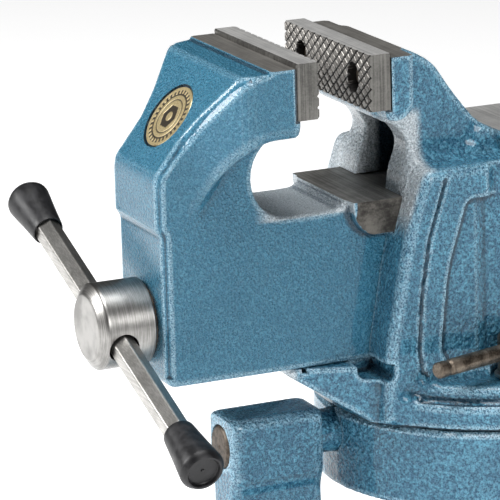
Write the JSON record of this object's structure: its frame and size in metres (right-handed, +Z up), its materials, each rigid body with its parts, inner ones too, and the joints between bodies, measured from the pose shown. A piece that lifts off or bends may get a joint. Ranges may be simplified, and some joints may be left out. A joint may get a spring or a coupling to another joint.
{
  "type": "bench vise",
  "caption": "Bench vise with checkered jaws, a sliding T-bar screw and a clamped swivel base that tilts between two uprights on a foot plate.",
  "frame": {"origin": "on the bench face, under the swivel axis", "axes": "+Z up from the bench, +Y from the handle towards the anvil, +X to the right seen from the handle"},
  "size_m": [0.2903, 0.4949, 0.395],
  "materials": {
    "hammertone_paint": "blue hammered gloss",
    "ground_steel": "ground",
    "bright_steel": "turned bright",
    "dark_steel": "oiled dark",
    "black_plastic": "satin",
    "brass_plate": "stamped"
  },
  "bodies": {
    "foot": {"foot_bracket": "hammertone_paint"},
    "tilt_lock": {"tilt_lock_screw": "dark_steel"},
    "tilt_lock_handle": {"tilt_lock_bar": "dark_steel"},
    "tilting_table": {"tilt_table": "hammertone_paint", "trunnion_pin_front": "ground_steel", "trunnion_pin_rear": "ground_steel", "swivel_pivot_pin": "ground_steel"},
    "fixed_jaw": {"fixed_jaw_body": "hammertone_paint", "fixed_jaw_plate": "ground_steel", "fixed_plate_screw_left": "dark_steel", "fixed_plate_screw_right": "dark_steel", "spindle_nut": "dark_steel", "spindle_nut_bolt": "dark_steel", "clamp_bolt_left": "dark_steel", "clamp_bolt_right": "dark_steel", "clamp_washer_left": "ground_steel", "clamp_washer_right": "ground_steel"},
    "clamp_left": {"clamp_nut_left": "dark_steel"},
    "clamp_right": {"clamp_nut_right": "dark_steel"},
    "clamp_left_handle": {"clamp_bar_left": "dark_steel"},
    "clamp_right_handle": {"clamp_bar_right": "dark_steel"},
    "moving_jaw": {"moving_jaw_body": "hammertone_paint", "moving_jaw_plate": "ground_steel", "moving_plate_screw_left": "dark_steel", "moving_plate_screw_right": "dark_steel", "badge_plate": "brass_plate", "thrust_washer_front": "dark_steel", "thrust_washer_rear": "dark_steel"},
    "screw": {"spindle": "bright_steel", "spindle_collar": "dark_steel", "collar_pin": "dark_steel"},
    "handle": {"tommy_bar": "bright_steel", "tommy_bar_cap_left": "black_plastic", "tommy_bar_cap_right": "black_plastic"}
  },
  "joints": [
    {"name": "tilt", "type": "hinge", "parent": "foot", "child": "tilting_table", "pos_m": [0, 0, 0.14], "axis": [0, 1, 0], "range_deg": [-60, 60]},
    {"name": "tilt_lock_turn", "type": "hinge", "parent": "foot", "child": "tilt_lock", "pos_m": [0.03, 0.16, 0.14], "axis": [1, 0, 0], "range_deg": [-30, 30]},
    {"name": "tilt_lock_bar_slide", "type": "slide", "parent": "tilt_lock", "child": "tilt_lock_handle", "axis": [0, 1, 0], "range_m": [-0.008, 0.016]},
    {"name": "swivel", "type": "hinge", "parent": "tilting_table", "child": "fixed_jaw", "pos_m": [0, 0, 0.16], "axis": [0, 0, 1], "continuous": true},
    {"name": "clamp_turn_left", "type": "hinge", "parent": "fixed_jaw", "child": "clamp_left", "pos_m": [-0.076, -0.021, 0.19], "axis": [0, 0, 1], "range_deg": [0, 18]},
    {"name": "clamp_turn_right", "type": "hinge", "parent": "fixed_jaw", "child": "clamp_right", "pos_m": [0.076, -0.021, 0.19], "axis": [0, 0, 1], "range_deg": [-18, 0]},
    {"name": "clamp_bar_slide_left", "type": "slide", "parent": "clamp_left", "child": "clamp_left_handle", "axis": [-0.2924, -0.9563, 0], "range_m": [0, 0.007]},
    {"name": "clamp_bar_slide_right", "type": "slide", "parent": "clamp_right", "child": "clamp_right_handle", "axis": [0.2924, -0.9563, 0], "range_m": [0, 0.007]},
    {"name": "jaw_slide", "type": "slide", "parent": "fixed_jaw", "child": "moving_jaw", "axis": [0, -1, 0], "range_m": [-0.034, 0.09]},
    {"name": "spindle_turn", "type": "hinge", "parent": "moving_jaw", "child": "screw", "pos_m": [0, -0.26, 0.2305], "axis": [0, 1, 0], "range_deg": [-5410, 2050]},
    {"name": "tommy_bar_slide", "type": "slide", "parent": "screw", "child": "handle", "axis": [0.9348, 0, -0.3551], "range_m": [-0.087, 0.077]}
  ],
  "couplings": [
    {"joint": "spindle_turn", "follows": "jaw_slide", "rad_per_m": -1047.2}
  ]
}
